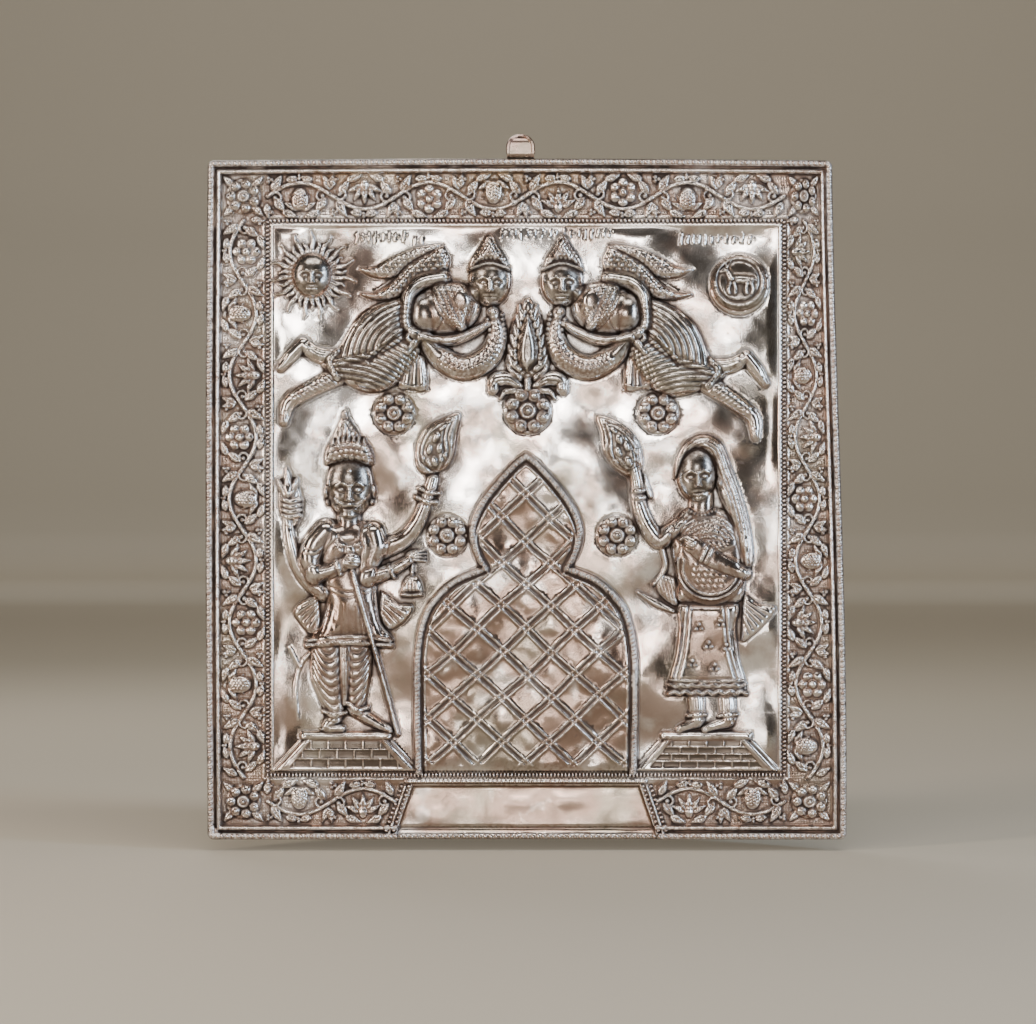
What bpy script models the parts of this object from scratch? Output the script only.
"""A chased silver wall panel with its hanging loop, hollow at the back as beaten sheet is.

Metres, +Z up, and the chased face looks along -Y. The origin is on the flat back of the hanging loop,
which lies against the wall.
"""

import math

import bmesh
import bpy
import numpy as np

# The sheet
PANEL_WIDTH = 0.302
PANEL_HEIGHT = 0.322
SHEET_THICKNESS = 0.0015
STANDOFF = 0.0060
EDGE_RETURN = 0.0026
RIGHT_EDGE_AT_TOP = -0.0058
RIGHT_EDGE_AT_FOOT = 0.0010
EDGE_BULGE = 0.0010
UNEVEN_REACH = 0.0300
CORNER_ROUNDING = 0.0030
RASTER_STEP = 0.0010
BACK_SOFTENING = 0.0015
PANEL_TRIANGLES = 9100

# The frame round the field, measured inwards from the sheet's edge
RIM_INSET = 0.0017
RIM_RADIUS = 0.0017
RIM_RISE = 0.0024
RIDGE_INSET = 0.0056
RIDGE_RADIUS = 0.0012
RIDGE_RISE = 0.0020
BAND_INSET = 0.0074
BAND_WIDTH = 0.0194
PEARL_GAP = 0.0018
PEARL_RADIUS = 0.0012
PEARL_RISE = 0.0016
FIELD_GAP = 0.0018
FOOT_BAND_EXTRA = 0.0020

# The floral scroll in the frame
SCROLL_RISE = 0.0016
SCROLL_HALF_WAVE = 0.0290
SCROLL_SWING = 0.0058
STEM_RADIUS = 0.0008
BLOSSOM_RADIUS = 0.0072
CORNER_ROSETTE_RADIUS = 0.0092

# The plain foot plate, in a notch of the frame
FOOT_PLATE_WIDTH = 0.1060
FOOT_PLATE_SPREAD = 0.0100
FOOT_PLATE_SINK = 0.0026
FOOT_ROLL_RADIUS = 0.0020

# The niche
NICHE_CENTRE = 0.0
NICHE_WIDTH = 0.1026
NICHE_HEIGHT = 0.1490
NICHE_RISE = 0.0024
NICHE_EDGE_RADIUS = 0.0019
LATTICE_PITCH_X = 0.0232
LATTICE_PITCH_Z = 0.0213
LATTICE_START = 0.0026
LATTICE_RIB_RADIUS = 0.0007
LATTICE_RIB_GAP = 0.0028
LATTICE_RIB_RISE = 0.0011

# The figures
FIGURE_OFFSET = 0.0853
FIGURE_RISE = 0.0080
PEDESTAL_HEIGHT = 0.0190
PEDESTAL_RISE = 0.0016
PEDESTAL_SLAB = 0.0040
PEDESTAL_HALF_TOP = 0.0200
PEDESTAL_HALF_FOOT = 0.0340
GUARDIAN_HEIGHT = 0.1470
CONSORT_HEIGHT = 0.1398
FLYER_LENGTH = 0.1090
FLYER_OFFSET = 0.0455
FLYER_DROP = 0.0485
FLYER_LEG_DROOP = 7.0

# Sun, moon, jewel and rosettes, each placed from the middle line and down from the field's top
SUN_RADIUS = 0.0200
SUN_PLACE = (-0.1014, 0.0240)
SUN_RAYS = 26
SUN_RAY_RISE = 0.0018
MOON_RADIUS = 0.0142
MOON_PLACE = (0.1010, 0.0284)
JEWEL_HEIGHT = 0.0590
JEWEL_PLACE = (0.0008, 0.0950)
ROSETTE_RADIUS = 0.0096
ROSETTE_RISE = 0.0028
ROSETTE_PLACES = ((-0.0625, 0.0895), (0.0625, 0.0895), (-0.0375, 0.1475), (0.0431, 0.1475))

# The hanging loop, a curled strip soldered on the sheet's top edge
LOOP_WIDTH = 0.0128
LOOP_HEIGHT = 0.0108
LOOP_DEPTH = 0.0078
LOOP_WALL = 0.0013
LOOP_INNER_CORNER = 0.0004
LOOP_REST_HEIGHT = 0.0040
LOOP_EDGE_RADIUS = 0.0009
LOOP_OFFSET = -0.0026
SOLDER_GAP = 0.0003

# Worked out from the sizes above
LOOP_HEEL = LOOP_WALL + LOOP_INNER_CORNER
FIELD_INSET = BAND_INSET + BAND_WIDTH + PEARL_GAP + FIELD_GAP
PEARL_INSET = BAND_INSET + BAND_WIDTH + PEARL_GAP
FIELD_TOP = PANEL_HEIGHT / 2 - FIELD_INSET
FIELD_BOTTOM = FIELD_INSET + FOOT_BAND_EXTRA - PANEL_HEIGHT / 2
FEET_LEVEL = FIELD_BOTTOM + PEDESTAL_HEIGHT
PANEL_CENTRE = (-LOOP_OFFSET, -(LOOP_REST_HEIGHT + SOLDER_GAP + EDGE_BULGE + PANEL_HEIGHT / 2))

SILVER = (0.78, 0.72, 0.68, 1.0)
TARNISHED = (0.52, 0.42, 0.38, 1.0)


def smooth_step(share):
    share = np.clip(share, 0.0, 1.0)
    return share * share * (3.0 - 2.0 * share)


def rounded(share):
    """A quarter-round section: 1 in the middle, falling to 0 where share reaches 1."""
    return np.sqrt(np.clip(1.0 - share * share, 0.0, 1.0))


def curved(points, steps=5):
    """A smooth path through the points."""
    nodes = np.array(points, float)
    padded = np.vstack([2 * nodes[0] - nodes[1], nodes, 2 * nodes[-1] - nodes[-2]])
    path = []
    for before, start, end, after in zip(padded, padded[1:], padded[2:], padded[3:]):
        for t in np.linspace(0.0, 1.0, steps, endpoint=False):
            pull = (end - before) * t + (2 * before - 5 * start + 4 * end - after) * t**2
            path.append(start + 0.5 * (pull + (3 * start - before - 3 * end + after) * t**3))
    return np.vstack([path, nodes[-1]])


def rounded_outline(points):
    """A smooth closed outline through the points."""
    nodes = list(points)
    path = curved(nodes[-2:] + nodes + nodes[:2])
    return path[10:-10]


def nearest_on_path(x, z, path):
    """Each sample's distance from a path, and how far along the path its nearest place is, from 0 to 1."""
    spans = np.hypot(*np.diff(path, axis=0).T)
    total = max(spans.sum(), 1e-9)
    gap = np.full(np.broadcast(x, z).shape, np.inf)
    along = np.zeros(gap.shape)
    done = 0.0
    for (sx, sz), (ex, ez), span in zip(path, path[1:], spans):
        dx, dz = ex - sx, ez - sz
        t = np.clip(((x - sx) * dx + (z - sz) * dz) / max(span * span, 1e-12), 0.0, 1.0)
        here = np.hypot(x - sx - t * dx, z - sz - t * dz)
        nearer = here < gap
        gap = np.where(nearer, here, gap)
        along = np.where(nearer, (done + t * span) / total, along)
        done += span
    return gap, along


def depth_inside(x, z, outline):
    """How far each sample lies inside a closed outline; 0 outside it."""
    closed = np.vstack([outline, outline[:1]])
    gap, _ = nearest_on_path(x, z, closed)
    inside = np.zeros(gap.shape, bool)
    for (ax, az), (bx, bz) in zip(closed, closed[1:]):
        crosses = (az > z) != (bz > z)
        rise = bz - az if bz != az else 1e-12
        inside ^= crosses & (x < (bx - ax) * (z - az) / rise + ax)
    return np.where(inside, gap, 0.0)


class Relief:
    """The height of the chased face above its ground, on a regular raster of the sheet."""

    def __init__(self, width, height, step):
        self.x = np.linspace(-width / 2, width / 2, round(width / step) + 1)
        self.z = np.linspace(-height / 2, height / 2, round(height / step) + 1)
        self.height = np.zeros((len(self.z), len(self.x)))

    def window(self, points, reach):
        """The part of the raster within reach of the points, with its x and z."""
        low = np.min(points, axis=0) - reach
        high = np.max(points, axis=0) + reach
        across = slice(*np.searchsorted(self.x, (low[0], high[0])))
        up = slice(*np.searchsorted(self.z, (low[1], high[1])))
        return (up, across), self.x[None, across], self.z[up, None]

    def raise_to(self, part, form):
        """Lifts what is there to the form, and leaves what is higher or outside the form."""
        here = self.height[part]
        self.height[part] = np.where(form > 0, np.maximum(here, form), here)

    def dome(self, centre, radii, rise, turn=0.0):
        part, x, z = self.window([centre], max(radii))
        c, s = math.cos(turn), math.sin(turn)
        dx, dz = x - centre[0], z - centre[1]
        share = np.hypot((dx * c + dz * s) / radii[0], (dz * c - dx * s) / radii[1])
        self.raise_to(part, rise * rounded(share))

    def limb(self, path, radii, rises):
        """A round-backed form along a path, whose radius and rise change on the way."""
        part, x, z = self.window(path, max(radii))
        gap, along = nearest_on_path(x, z, path)
        radius = np.interp(along, np.linspace(0, 1, len(radii)), radii)
        rise = np.interp(along, np.linspace(0, 1, len(rises)), rises)
        self.raise_to(part, rise * rounded(gap / radius))

    def plate(self, outline, shoulder, rise):
        """A raised form with a flat top and round shoulders."""
        part, x, z = self.window(outline, 0.0)
        depth = depth_inside(x, z, outline)
        self.raise_to(part, rise * rounded(1.0 - np.minimum(depth / shoulder, 1.0)))


class Drawing:
    """A figure on the relief, drawn in divisions of its own size from its anchor."""

    def __init__(self, relief, anchor, division, rise, mirror=1, turn=0.0, pivot=(0.0, 0.0)):
        self.relief, self.anchor, self.division = relief, anchor, division
        self.rise, self.mirror, self.turn, self.pivot = rise, mirror, turn, pivot

    def at(self, points):
        points = np.array(points, float) - self.pivot
        c, s = math.cos(self.turn), math.sin(self.turn)
        turned = points @ np.array([[c, s], [-s, c]]) + self.pivot
        return turned * (self.mirror * self.division, self.division) + self.anchor

    def turned(self, degrees, pivot):
        """The same figure's drawing, with what is drawn next turned about a joint."""
        turn = math.radians(degrees)
        return Drawing(self.relief, self.anchor, self.division, self.rise, self.mirror, turn, pivot)

    def dome(self, centre, radii, rise, lean=0.0):
        centre = self.at([centre])[0]
        radii = [radius * self.division for radius in radii]
        self.relief.dome(centre, radii, rise * self.rise, math.radians(lean) * self.mirror)

    def limb(self, points, radii, rises):
        radii = [radius * self.division for radius in radii]
        self.relief.limb(curved(self.at(points)), radii, [r * self.rise for r in rises])

    def plate(self, outline, shoulder, rise):
        outline = rounded_outline(self.at(outline))
        self.relief.plate(outline, shoulder * self.division, rise * self.rise)


def ring_of(centre, radius, count, start=0.0):
    """Points at equal steps round a circle."""
    turns = [start + 2 * math.pi * i / count for i in range(count)]
    return [(centre[0] + radius * math.cos(a), centre[1] + radius * math.sin(a)) for a in turns]


def rectangle(half_width, bottom, top):
    left, right = -half_width, half_width
    return np.array([(left, bottom), (right, bottom), (right, top), (left, top)])


def frame_path(inset, foot_extra=0.0):
    """The closed rectangle at this inset from the sheet's edge."""
    half_width = PANEL_WIDTH / 2 - inset
    top = PANEL_HEIGHT / 2 - inset
    corners = rectangle(half_width, foot_extra - top, top)
    return np.vstack([corners, corners[:1]])


def rosette(relief, centre, radius, rise, petals=8):
    """A flower of round petals about a ringed boss."""
    relief.dome(centre, (radius * 0.96, radius * 0.96), rise * 0.55)
    for petal in ring_of(centre, radius * 0.72, petals, math.pi / petals):
        relief.dome(petal, (radius * 0.30, radius * 0.30), rise * 0.85)
    relief.dome(centre, (radius * 0.36, radius * 0.36), rise)


def blossom(relief, centre, radius, rise):
    """A scroll's flower: a low dome with a boss."""
    relief.dome(centre, (radius, radius), rise * 0.8)
    relief.dome(centre, (radius * 0.38, radius * 0.38), rise * 1.2)


def leaf(relief, root, angle, length, rise):
    """A pointed leaf from its root."""
    reach = (1.0, 0.70, 0.35, 0.0, 0.35, 0.70)
    spread = (0.0, 0.20, 0.24, 0.0, -0.24, -0.20)
    c, s = math.cos(angle), math.sin(angle)
    outline = [
        (root[0] + length * (r * c - w * s), root[1] + length * (r * s + w * c))
        for r, w in zip(reach, spread)
    ]
    relief.plate(np.array(outline), length * 0.2, rise)


def scroll(relief, start, end, flip=1):
    """A waving stem between two corners, with a flower in each bend and leaves off the crests."""
    start, end = np.array(start), np.array(end)
    run = np.hypot(*(end - start))
    ahead = (end - start) / run
    aside = np.array([-ahead[1], ahead[0]]) * flip
    bends = max(2, round(run / SCROLL_HALF_WAVE))
    half_wave = run / bends
    steps = np.linspace(0.0, run, bends * 8 + 1)
    swing = SCROLL_SWING * np.sin(math.pi * steps / half_wave)
    stem = start + steps[:, None] * ahead + swing[:, None] * aside
    relief.limb(stem, [STEM_RADIUS], [SCROLL_RISE * 0.8])
    heading = math.atan2(ahead[1], ahead[0])
    for bend in range(bends):
        side = 1 if bend % 2 == 0 else -1
        middle = start + (bend + 0.5) * half_wave * ahead
        blossom(relief, middle - side * 0.15 * SCROLL_SWING * aside, BLOSSOM_RADIUS, SCROLL_RISE)
        for share, swerve in ((0.02, 0.9), (0.16, -0.75), (0.84, 2.4), (0.98, -2.2)):
            root = start + (bend + share) * half_wave * ahead
            leaf(relief, root, heading + swerve * side * flip, half_wave * 0.34, SCROLL_RISE * 0.7)


def frame(relief):
    """The rim, its ridge, the scroll band with corner rosettes, and the pearled line round the field."""
    relief.limb(frame_path(RIM_INSET), [RIM_RADIUS], [RIM_RISE])
    relief.limb(frame_path(RIDGE_INSET), [RIDGE_RADIUS], [RIDGE_RISE])
    relief.limb(frame_path(PEARL_INSET, FOOT_BAND_EXTRA), [PEARL_RADIUS], [PEARL_RISE])
    middle = BAND_INSET + BAND_WIDTH / 2
    x = PANEL_WIDTH / 2 - middle
    top = PANEL_HEIGHT / 2 - middle
    bottom = FOOT_BAND_EXTRA / 2 - top
    clear = CORNER_ROSETTE_RADIUS * 1.3
    for side in (-1, 1):
        scroll(relief, (side * x, top - clear), (side * x, bottom + clear), side)
        scroll(relief, (side * (x - clear), bottom), (side * foot_plate_half_width(bottom), bottom), side)
        for z in (bottom, top):
            rosette(relief, (side * x, z), CORNER_ROSETTE_RADIUS, SCROLL_RISE * 1.5, 6)
    scroll(relief, (clear - x, top), (x - clear, top))


def foot_plate_half_width(z):
    """Half the foot plate's width at this height: it spreads downwards."""
    top = FIELD_BOTTOM - FIELD_GAP - PEARL_GAP
    share = (top - z) / (PANEL_HEIGHT / 2 + top)
    return FOOT_PLATE_WIDTH / 2 + FOOT_PLATE_SPREAD * share


def foot_plate(relief):
    """The plain sunk plate below the field, with a rolled foot and two lines down each slanting end."""
    top = FIELD_BOTTOM - FIELD_GAP - PEARL_GAP
    foot = -PANEL_HEIGHT / 2
    width = foot_plate_half_width(relief.z[:, None]) - np.abs(relief.x[None, :])
    depth = np.minimum(width, top - relief.z[:, None])
    sunk = -FOOT_PLATE_SINK * smooth_step(depth / RIDGE_RADIUS)
    roll = np.clip(1.0 - (relief.z[:, None] - foot) / (2 * FOOT_ROLL_RADIUS), 0.0, 1.0)
    sunk = sunk + FOOT_ROLL_RADIUS / 2 * np.sin(math.pi * roll)
    relief.height = np.where(depth > 0, sunk, relief.height)
    for side in (-1, 1):
        for line in (1, 3):
            outwards = line * RIDGE_RADIUS
            slant = [
                (side * (foot_plate_half_width(z) + outwards), z) for z in (top, foot + RIM_INSET)
            ]
            relief.limb(np.array(slant), [RIDGE_RADIUS], [RIDGE_RISE])


def niche_outline():
    """The pointed bulb above round shoulders, as shares of the niche's half width and height."""
    shares = [
        (0.99, 0.00), (1.00, 0.18), (1.00, 0.35), (0.96, 0.455), (0.87, 0.53), (0.67, 0.60),
        (0.37, 0.645), (0.455, 0.70), (0.49, 0.77), (0.40, 0.85), (0.22, 0.93), (0.08, 0.98),
        (0.00, 1.00),
    ]
    right = [(x * NICHE_WIDTH / 2, FIELD_BOTTOM + z * NICHE_HEIGHT) for x, z in shares]
    shoulder, bulb = curved(right[:7]), curved(right[6:])
    right = np.vstack([shoulder, bulb[1:]])
    left = right[::-1][1:] * (-1, 1)
    return np.vstack([right, left]) + (NICHE_CENTRE, 0.0)


def lattice_gap(x, z):
    """Each sample's distance from the nearest slanting lattice line, one array for each way they run."""
    pitch = math.hypot(LATTICE_PITCH_X, LATTICE_PITCH_Z)
    across = LATTICE_PITCH_X * LATTICE_PITCH_Z / pitch
    gaps = []
    for way in (-1, 1):
        line = (x - NICHE_CENTRE) / LATTICE_PITCH_X + way * (z - LATTICE_START) / LATTICE_PITCH_Z
        gaps.append(np.abs(line - np.round(line)) * across)
    return gaps


def niche(relief):
    """The latticed niche, a raised and quilted field with a pearled edge."""
    outline = niche_outline()
    part, x, z = relief.window(outline, 0.0)
    depth = depth_inside(x, z, outline)
    form = NICHE_RISE * rounded(1.0 - np.minimum(depth / (3 * NICHE_EDGE_RADIUS), 1.0))
    inner = smooth_step((depth - NICHE_EDGE_RADIUS) / NICHE_EDGE_RADIUS)
    ribs = 0.0
    for gap in lattice_gap(x, z):
        gap = np.abs(gap - LATTICE_RIB_GAP / 2)
        ribs = np.maximum(ribs, smooth_step(1.0 - gap / (2 * LATTICE_RIB_RADIUS)))
    form = np.where(depth > 0, form + LATTICE_RIB_RISE * inner * ribs, relief.height[part])
    relief.height[part] = np.maximum(relief.height[part], form)
    relief.limb(outline, [NICHE_EDGE_RADIUS], [NICHE_RISE + RIDGE_RISE])


def pedestal(relief, side):
    """A brick plinth seen in perspective, under a flat slab."""
    x = side * FIGURE_OFFSET
    slab_foot = FEET_LEVEL - PEDESTAL_SLAB
    plinth = [
        (x - PEDESTAL_HALF_FOOT, FIELD_BOTTOM),
        (x + PEDESTAL_HALF_FOOT, FIELD_BOTTOM),
        (x + PEDESTAL_HALF_TOP, slab_foot),
        (x - PEDESTAL_HALF_TOP, slab_foot),
    ]
    relief.plate(np.array(plinth), PEDESTAL_RISE, PEDESTAL_RISE)
    level = FEET_LEVEL - PEDESTAL_SLAB / 2
    slab = np.array([(x - PEDESTAL_HALF_TOP, level), (x + PEDESTAL_HALF_TOP, level)])
    relief.limb(slab, [PEDESTAL_SLAB / 2], [PEDESTAL_RISE * 1.6])


def guardian(relief):
    """The crowned guardian with four arms: staff, bell, drum and flame. Drawn on 310 divisions."""
    king = Drawing(relief, (-FIGURE_OFFSET, FEET_LEVEL), GUARDIAN_HEIGHT / 310, FIGURE_RISE)
    # Back arms with the drum and the flame
    back_arm = [(-23, 138), (-37, 150), (-49, 168), (-56, 193), (-58, 212)]
    king.limb(back_arm, [9, 8, 7, 6, 5], [0.6, 0.55, 0.5])
    king.dome((-56, 230), (11, 27), 0.55, 4)
    king.limb([(33, 181), (57, 191), (71, 208), (80, 230), (87, 252)], [11, 9, 8, 7, 6], [0.6, 0.6, 0.5])
    king.plate(
        [(86, 256), (73, 260), (69, 273), (71, 290), (80, 304), (96, 313), (114, 318), (111, 296),
         (108, 276), (100, 262)], 11, 0.6,
    )
    # Legs in draped cloth, and feet
    king.limb([(-16, 86), (-17, 56), (-11, 20)], [18, 17, 10], [0.7, 0.65, 0.5])
    king.limb([(12, 86), (13, 56), (11, 24)], [17, 15, 10], [0.7, 0.65, 0.5])
    king.limb([(-12, 12), (-19, 4), (-4, 3)], [8, 5, 4], [0.45, 0.4])
    king.limb([(8, 22), (24, 12), (43, 2)], [7, 6, 4], [0.5, 0.45, 0.35])
    # Sash ends
    king.plate([(-27, 136), (-52, 122), (-45, 106), (-33, 96), (-25, 103)], 5, 0.3)
    king.plate([(35, 140), (53, 128), (67, 126), (59, 110), (43, 102), (33, 118)], 5, 0.35)
    # Tunic, belly and hem
    king.plate(
        [(-17, 208), (-27, 188), (-23, 153), (-20, 128), (-27, 103), (-39, 88), (50, 88), (38, 108),
         (31, 138), (33, 168), (35, 188), (27, 206), (5, 212)], 22, 0.85,
    )
    king.limb([(-39, 87), (5, 91), (50, 88)], [4], [0.8])
    # Front arms, bell and staff
    king.limb([(-26, 196), (-36, 174), (-29, 156)], [13, 12, 10], [0.9, 0.95, 0.95])
    king.limb([(-29, 156), (-10, 162), (7, 171)], [9, 7, 6], [0.95, 1.0, 1.0])
    king.dome((6, 170), (9, 8), 1.05)
    king.limb([(27, 196), (24, 173), (23, 155)], [12, 10, 9], [0.9, 0.9, 0.85])
    king.limb([(23, 153), (45, 161), (65, 172)], [9, 7, 5], [0.85, 0.75, 0.65])
    king.dome((68, 176), (9, 6), 0.65, 10)
    king.plate([(54, 131), (54, 146), (58, 154), (66, 159), (74, 154), (78, 146), (78, 131)], 5, 0.4)
    king.limb([(67, 172), (66, 158)], [3, 4], [0.5, 0.4])
    king.limb([(7, 160), (30, 78), (52, -3)], [3], [1.05, 0.85, 0.4])
    # Head and crown
    king.limb([(3, 215), (3, 202)], [12], [0.6])
    king.plate([(-22, 268), (-18, 286), (-9, 300), (-1, 316), (8, 301), (18, 286), (24, 268)], 12, 0.8)
    king.limb([(-22, 271), (3, 276), (27, 271)], [8], [1.0])
    for side in (-1, 1):
        king.limb([(3 + side * 18, 276), (3 + side * 29, 283)], [6, 2], [0.85, 0.5])
    king.dome((4, 240), (23, 31), 1.0)
    king.limb([(4, 253), (4, 236)], [3, 5], [1.06, 1.12])


def consort(relief):
    """The veiled consort with a flame in the raised hand. Drawn on 295 divisions."""
    lady = Drawing(relief, (FIGURE_OFFSET, FEET_LEVEL), CONSORT_HEIGHT / 295, FIGURE_RISE)
    # Flame and raised arm
    lady.plate(
        [(-76, 254), (-93, 265), (-103, 281), (-105, 298), (-109, 316), (-88, 310), (-71, 295),
         (-64, 277), (-65, 260)], 11, 0.6,
    )
    lady.plate([(-62, 258), (-53, 236), (-57, 233), (-63, 243)], 3, 0.3)
    lady.limb(
        [(-22, 208), (-37, 198), (-48, 191), (-60, 208), (-67, 228), (-69, 248), (-72, 262)],
        [9, 9, 9, 8, 7, 6], [0.8, 0.7, 0.6],
    )
    # Sash ends
    lady.limb([(-44, 182), (-41, 163), (-52, 147)], [3, 3, 2], [0.3])
    lady.plate([(-45, 158), (-50, 143), (-37, 128), (-27, 128), (-31, 153)], 5, 0.3)
    lady.plate([(37, 136), (52, 128), (70, 124), (61, 110), (47, 96), (35, 92)], 5, 0.3)
    lady.limb([(-68, 139), (-50, 128), (-33, 120)], [1.5, 4, 2], [0.25])
    # Legs, feet and skirt
    lady.limb([(-11, 38), (-9, 12)], [9, 8], [0.5])
    lady.limb([(-9, 10), (-27, 3)], [7, 4], [0.5, 0.35])
    lady.limb([(21, 38), (23, 12)], [9, 8], [0.5])
    lady.limb([(20, 9), (-1, 2)], [6, 4], [0.5, 0.35])
    lady.plate(
        [(-25, 130), (-29, 103), (-33, 78), (-42, 40), (-5, 36), (43, 38), (36, 73), (32, 103), (31, 130)],
        12, 0.72,
    )
    lady.limb([(-41, 41), (-5, 37), (43, 39)], [4], [0.75])
    # Body, veil and folded arm
    lady.plate(
        [(-19, 223), (-32, 208), (-35, 183), (-29, 153), (-25, 128), (30, 128), (40, 153), (41, 183),
         (33, 208), (13, 223)], 15, 0.72,
    )
    lady.dome((4, 163), (34, 36), 0.88)
    lady.dome((4, 194), (29, 18), 0.92)
    lady.plate(
        [(-30, 254), (-29, 270), (-20, 288), (-3, 296), (14, 288), (24, 264), (34, 238), (43, 204), (46, 170),
         (38, 160), (34, 176), (26, 208), (15, 228), (5, 240), (-10, 248)], 11, 0.8,
    )
    lady.limb([(39, 158), (20, 168), (0, 178), (-14, 187)], [7, 8, 9, 10], [0.95, 1.0, 1.0])
    # Head
    lady.limb([(-5, 236), (-5, 222)], [12], [0.6])
    lady.dome((-9, 258), (20, 28), 1.0, -4)
    lady.limb([(-11, 268), (-12, 252)], [3, 5], [1.06, 1.1])


def flyer(relief, side):
    """A winged attendant flying inwards with a garland. Each is drawn on 230 divisions, from the chest."""
    anchor = (side * FLYER_OFFSET, FIELD_TOP - FLYER_DROP)
    angel = Drawing(relief, anchor, FLYER_LENGTH / 230, FIGURE_RISE, -side)
    droop = FLYER_LEG_DROOP if side > 0 else 0.0
    legs = angel.turned(droop, (-20, 0))
    # Wings
    angel.plate(
        [(13, 82), (-12, 80), (-38, 70), (-55, 60), (-71, 58), (-55, 49), (-35, 50), (-20, 62), (0, 72)],
        7, 0.4,
    )
    angel.plate(
        [(14, 81), (-2, 74), (-22, 62), (-38, 45), (-55, 34), (-70, 33), (-55, 27), (-35, 28),
         (-20, 37), (-5, 47), (15, 54), (20, 68)], 9, 0.55,
    )
    # Legs under a fluted skirt
    legs.limb([(-92, -32), (-112, -28), (-127, -18)], [9, 8, 7], [0.6, 0.55])
    legs.limb([(-127, -17), (-138, -28), (-149, -41)], [7, 7, 5], [0.55, 0.5])
    legs.limb([(-90, -48), (-115, -60), (-137, -72)], [10, 9, 8], [0.6, 0.55])
    legs.limb([(-137, -72), (-143, -80), (-146, -95)], [8, 7, 5], [0.5])
    legs.plate(
        [(-22, 26), (-48, 24), (-72, 10), (-92, -22), (-104, -34), (-96, -46), (-62, -38), (-22, -14)],
        20, 0.9,
    )
    legs.plate(
        [(-8, -10), (-24, -8), (-60, -26), (-104, -34), (-106, -42), (-86, -56), (-60, -66), (-34, -58),
         (-10, -30)], 20, 0.86,
    )
    legs.plate([(-22, -22), (-34, -58), (-5, -62), (-6, -30)], 5, 0.3)
    # Chest and arms
    angel.dome((18, 18), (33, 27), 0.95, 12)
    angel.dome((-4, 15), (16, 20), 0.95)
    angel.limb([(12, 48), (-12, 42), (-22, 28), (-23, 5), (-15, -8)], [8, 8, 7, 6, 6], [0.8, 0.85, 0.8])
    # Garland across both hands
    angel.limb(
        [(-4, -13), (10, -30), (33, -41), (57, -31), (67, -10), (64, 12)],
        [8, 12, 13, 13, 11, 6], [0.65, 0.7, 0.55],
    )
    angel.limb([(-15, -8), (5, -13), (25, -13), (45, -5), (60, 4)], [6, 6, 6, 5, 4], [0.85, 0.9, 0.7])
    # Head and pointed cap
    angel.limb([(46, 34), (32, 26)], [9], [0.6])
    angel.plate([(39, 60), (40, 68), (47, 82), (59, 99), (71, 82), (81, 68), (82, 60)], 11, 0.85)
    angel.dome((60, 46), (21, 26), 1.0)
    angel.limb([(60, 54), (60, 40)], [3, 5], [1.06, 1.12])


def in_field(place):
    """A place given from the middle line and down from the field's top."""
    return np.array([place[0], FIELD_TOP - place[1]])


def sun(relief):
    """A domed face in a burst of wavy rays."""
    centre = in_field(SUN_PLACE)
    for ray, tip in enumerate(ring_of(centre, SUN_RADIUS, SUN_RAYS)):
        reach = 1.0 if ray % 2 else 0.86
        spoke = np.array([centre + (np.array(tip) - centre) * share for share in (0.45, reach)])
        relief.limb(spoke, [SUN_RADIUS * 0.055, SUN_RADIUS * 0.02], [SUN_RAY_RISE, SUN_RAY_RISE / 3])
    relief.dome(centre, (SUN_RADIUS * 0.48, SUN_RADIUS * 0.54), FIGURE_RISE * 0.75)


def moon(relief):
    """A thick ring, heavier below, round a sunk disc with a grazing deer."""
    centre = in_field(MOON_PLACE)
    relief.dome(centre, (MOON_RADIUS, MOON_RADIUS * 1.04), FIGURE_RISE * 0.55)
    upper = centre + (-MOON_RADIUS * 0.02, MOON_RADIUS * 0.12)
    ring = np.array(ring_of(upper, MOON_RADIUS * 0.74, 24))
    relief.limb(np.vstack([ring, ring[:1]]), [MOON_RADIUS * 0.10], [FIGURE_RISE * 0.62])
    deer = Drawing(relief, upper, MOON_RADIUS / 30, FIGURE_RISE)
    deer.limb([(-6, 0), (8, -2)], [5, 5], [0.75])
    deer.limb([(-8, 2), (-12, 9)], [3], [0.74])
    for hoof in (-8, -2, 6, 10):
        deer.limb([(hoof, -2), (hoof + 1, -12)], [1.6], [0.68])


def jewel(relief):
    """The flame-shaped jewel above the niche, with side curls and a rosette."""
    gem = Drawing(relief, in_field(JEWEL_PLACE), JEWEL_HEIGHT / 124, FIGURE_RISE * 0.8)
    gem.plate(
        [(-12, 44), (-22, 60), (-20, 82), (-15, 104), (-7, 120), (0, 127), (7, 120), (15, 104),
         (20, 82), (22, 60), (12, 44)], 9, 0.5,
    )
    gem.limb([(0, 58), (0, 80), (0, 104)], [10, 8, 4], [0.9, 0.85, 0.6])
    for side in (-1, 1):
        curl = [(side * 8, 38), (side * 20, 46), (side * 32, 44), (side * 35, 34)]
        gem.limb(curl, [4, 7, 8, 5], [0.45, 0.55, 0.5])
    gem.limb([(0, 44), (0, 34)], [4], [0.5])
    rosette(relief, gem.at([(0, 14)])[0], 24 * gem.division, FIGURE_RISE * 0.42)


def chased_relief(step):
    """The whole front of the sheet."""
    relief = Relief(PANEL_WIDTH, PANEL_HEIGHT, step)
    frame(relief)
    foot_plate(relief)
    niche(relief)
    sun(relief)
    moon(relief)
    jewel(relief)
    for side in (-1, 1):
        pedestal(relief, side)
        flyer(relief, side)
    for place in ROSETTE_PLACES:
        rosette(relief, in_field(place), ROSETTE_RADIUS, ROSETTE_RISE)
    guardian(relief)
    consort(relief)
    return relief


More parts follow.
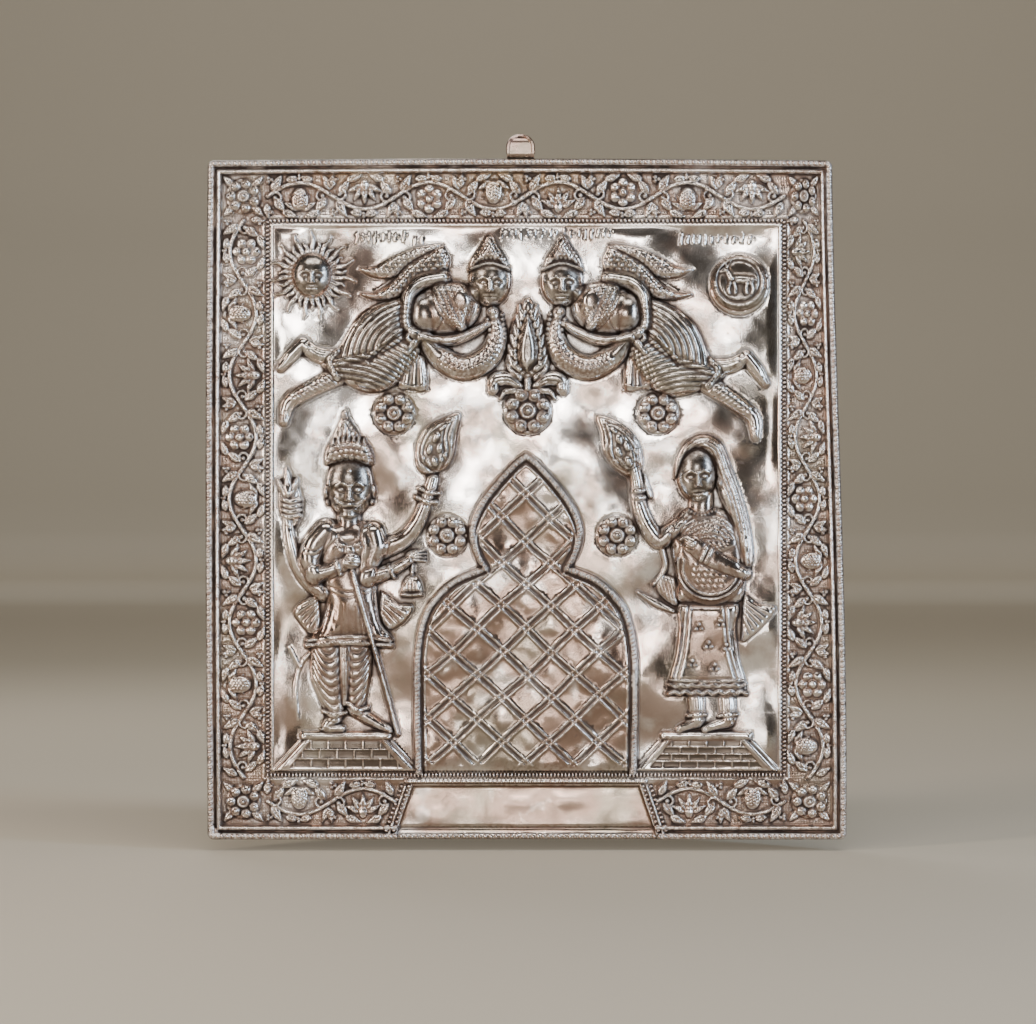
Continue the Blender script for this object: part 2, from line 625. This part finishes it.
def settled(x, z):
    """Where a point of the straight drawing lies on the beaten sheet, whose sides are a little uneven."""
    up = z / PANEL_HEIGHT + 0.5
    to_right = smooth_step(1.0 - (PANEL_WIDTH / 2 - x) / UNEVEN_REACH)
    to_left = smooth_step(1.0 - (PANEL_WIDTH / 2 + x) / UNEVEN_REACH)
    to_top = smooth_step(1.0 - (PANEL_HEIGHT / 2 - z) / UNEVEN_REACH)
    lean = RIGHT_EDGE_AT_FOOT + (RIGHT_EDGE_AT_TOP - RIGHT_EDGE_AT_FOOT) * smooth_step(up)
    bulge = EDGE_BULGE * np.sin(math.pi * up)
    crest = EDGE_BULGE * np.cos(math.pi * x / PANEL_WIDTH)
    past_x = np.abs(x) - (PANEL_WIDTH / 2 - CORNER_ROUNDING)
    past_z = np.abs(z) - (PANEL_HEIGHT / 2 - CORNER_ROUNDING)
    square = np.maximum(past_x, past_z)
    in_corner = (past_x > 0) & (past_z > 0)
    pull = np.where(in_corner, square / np.maximum(np.hypot(past_x, past_z), 1e-9) - 1.0, 0.0)
    x = x + np.sign(x) * past_x * pull
    z = z + np.sign(z) * past_z * pull
    return x + to_right * (lean + bulge) - to_left * bulge, z + to_top * crest


def softened(surface, reach, step):
    """The surface with everything narrower than reach smoothed out."""
    steps = max(1, round(reach / step))
    for axis in (0, 1):
        for _ in range(2):
            margins = [(steps, steps) if a == axis else (0, 0) for a in (0, 1)]
            padded = np.pad(surface, margins, mode="edge")
            total = np.cumsum(padded, axis=axis)
            size = surface.shape[axis]
            upper = np.take(total, range(2 * steps, 2 * steps + size), axis=axis)
            lower = np.take(total, range(size), axis=axis)
            surface = (upper - lower) / (2 * steps)
    return surface


def lowest_near(surface, reach, step):
    """At each sample the lowest height within reach of it."""
    steps = max(1, round(reach / step))
    lowest = surface.copy()
    for axis in (0, 1):
        start = lowest.copy()
        for shift in range(-steps, steps + 1):
            lowest = np.minimum(lowest, np.roll(start, shift, axis=axis))
    return lowest


def material(name, colour, metallic, roughness):
    made = bpy.data.materials.new(name)
    made.use_nodes = True
    shader = made.node_tree.nodes["Principled BSDF"]
    shader.inputs["Base Color"].default_value = colour
    shader.inputs["Metallic"].default_value = metallic
    shader.inputs["Roughness"].default_value = roughness
    return made


def body(name, mesh, made_of):
    thing = bpy.data.objects.new(name, mesh)
    bpy.context.scene.collection.objects.link(thing)
    thing.data.materials.append(made_of)
    return thing


def in_fixed_order(form):
    """Sorts a mesh by its points' numbers, because thinning it gives the same result only in the same order."""
    count = len(form.verts)

    def key(part):
        numbers = [vert.index for vert in part.verts]
        return min(numbers) * count + max(numbers)

    form.verts.sort()
    form.edges.sort(key=key)
    form.faces.sort(key=key)


def chased_panel(silver):
    """The sheet: a raster raised to the relief, closed by a hollow back and a flat edge at the wall."""
    relief = chased_relief(RASTER_STEP)
    rows, columns = relief.height.shape
    front = relief.height + STANDOFF
    hollow = lowest_near(front, 2 * BACK_SOFTENING, RASTER_STEP) - SHEET_THICKNESS
    hollow = np.maximum(softened(hollow, BACK_SOFTENING, RASTER_STEP), SHEET_THICKNESS)
    from_side = PANEL_WIDTH / 2 - np.abs(relief.x)[None, :]
    from_end = PANEL_HEIGHT / 2 - np.abs(relief.z)[:, None]
    back = np.where(np.minimum(from_side, from_end) < EDGE_RETURN, 0.0, hollow)
    x, z = settled(*np.broadcast_arrays(relief.x[None, :], relief.z[:, None]))

    shell = bmesh.new()
    bmesh.ops.create_grid(shell, x_segments=columns - 1, y_segments=rows - 1, size=1.0)
    faces = list(shell.faces)
    made = bmesh.ops.extrude_face_region(shell, geom=faces, use_keep_orig=True)
    rear = {part for part in made["geom"] if isinstance(part, bmesh.types.BMVert)}
    for vert in shell.verts:
        column = round((vert.co.x + 1.0) / 2.0 * (columns - 1))
        row = round((vert.co.y + 1.0) / 2.0 * (rows - 1))
        surface = back if vert in rear else front
        vert.index = row * columns + column + (rows * columns if vert in rear else 0)
        vert.co = (
            x[row, column] + PANEL_CENTRE[0],
            -surface[row, column],
            z[row, column] + PANEL_CENTRE[1],
        )
    bmesh.ops.recalc_face_normals(shell, faces=shell.faces)
    in_fixed_order(shell)
    mesh = bpy.data.meshes.new("chased_panel")
    shell.to_mesh(mesh)
    shell.free()
    panel = body("chased_panel", mesh, silver)
    thin = panel.modifiers.new("fewer_faces", "DECIMATE")
    thin.ratio = PANEL_TRIANGLES / (4.0 * (rows - 1) * (columns - 1))
    thin.use_collapse_triangulate = True
    return panel


def prism(name, outline, depth, made_of):
    """A flat outline in the sheet's plane, drawn out through depth from the wall."""
    form = bmesh.new()
    face = form.faces.new([form.verts.new((x, 0.0, z)) for x, z in outline])
    made = bmesh.ops.extrude_face_region(form, geom=[face], use_keep_orig=True)
    far = [part for part in made["geom"] if isinstance(part, bmesh.types.BMVert)]
    bmesh.ops.translate(form, verts=far, vec=depth)
    bmesh.ops.recalc_face_normals(form, faces=form.faces)
    mesh = bpy.data.meshes.new(name)
    form.to_mesh(mesh)
    form.free()
    return body(name, mesh, made_of)


def arc(centre, radius, start, end, steps):
    """Points from one angle to another round a centre, in degrees."""
    turns = np.radians(np.linspace(start, end, steps))
    return [(centre[0] + radius * math.cos(a), centre[1] + radius * math.sin(a)) for a in turns]


def hanging_loop(silver):
    """A strip curled into a closed loop, cut to a round-topped tongue, with a wire round its front edge."""
    foot = -LOOP_REST_HEIGHT
    curl = LOOP_DEPTH / 2
    crown = foot + LOOP_HEIGHT - curl
    section = arc((-curl, crown), curl, 0, 180, 13)
    section += arc((LOOP_HEEL - LOOP_DEPTH, foot + LOOP_HEEL), LOOP_HEEL, 180, 270, 4)
    section += arc((-LOOP_HEEL, foot + LOOP_HEEL), LOOP_HEEL, 270, 360, 4)
    strip = bmesh.new()
    ring = [strip.verts.new((-LOOP_WIDTH, y, z)) for y, z in section]
    edges = [strip.edges.new(pair) for pair in zip(ring, ring[1:] + ring[:1])]
    made = bmesh.ops.extrude_edge_only(strip, edges=edges)
    far = [part for part in made["geom"] if isinstance(part, bmesh.types.BMVert)]
    bmesh.ops.translate(strip, verts=far, vec=(2 * LOOP_WIDTH, 0.0, 0.0))
    bmesh.ops.recalc_face_normals(strip, faces=strip.faces)
    mesh = bpy.data.meshes.new("hanging_loop")
    strip.to_mesh(mesh)
    strip.free()
    loop = body("hanging_loop", mesh, silver)
    wall = loop.modifiers.new("wall", "SOLIDIFY")
    wall.thickness = LOOP_WALL
    wall.offset = -1.0
    wall.use_even_offset = True

    half = LOOP_WIDTH / 2
    top = foot + LOOP_HEIGHT - half
    arch = [(-half, foot - SOLDER_GAP)] + arc((0.0, top), half, 180, 0, 17) + [(half, foot - SOLDER_GAP)]
    cutter = prism("tongue_outline", [(x, z) for x, z in arch], (0.0, -2 * LOOP_DEPTH, 0.0), silver)
    cutter.location.y = LOOP_DEPTH / 2
    edge = bpy.data.curves.new("front_edge_wire", "CURVE")
    edge.dimensions = "3D"
    edge.bevel_depth = LOOP_EDGE_RADIUS
    edge.bevel_resolution = 1
    edge.use_fill_caps = True
    inset = half - LOOP_EDGE_RADIUS / 2
    heel = foot + LOOP_HEEL
    path = [(-inset, heel)] + arc((0.0, top), inset, 180, 0, 13) + [(inset, heel)]
    spline = edge.splines.new("POLY")
    spline.points.add(len(path) - 1)
    for point, (px, pz) in zip(spline.points, path):
        height = min(max((pz - crown) / curl, 0.0), 1.0)
        point.co = (px, curl * (1.0 - math.sqrt(1.0 - height * height)) - LOOP_DEPTH, pz, 1.0)
    drawn = bpy.data.objects.new("front_edge_path", edge)
    wire = body("front_edge_wire", bpy.data.meshes.new_from_object(drawn), silver)
    bpy.data.objects.remove(drawn, do_unlink=True)
    for tool, operation in ((cutter, "INTERSECT"), (wire, "UNION")):
        tool.hide_render = True
        tool.display_type = "WIRE"
        join = loop.modifiers.new(tool.name, "BOOLEAN")
        join.operation = operation
        join.solver = "EXACT"
        join.object = tool
    return loop


for thing in list(bpy.data.objects):
    bpy.data.objects.remove(thing, do_unlink=True)

chased_panel(material("aged_silver", SILVER, 1.0, 0.30))
hanging_loop(material("tarnished_silver", TARNISHED, 1.0, 0.42))
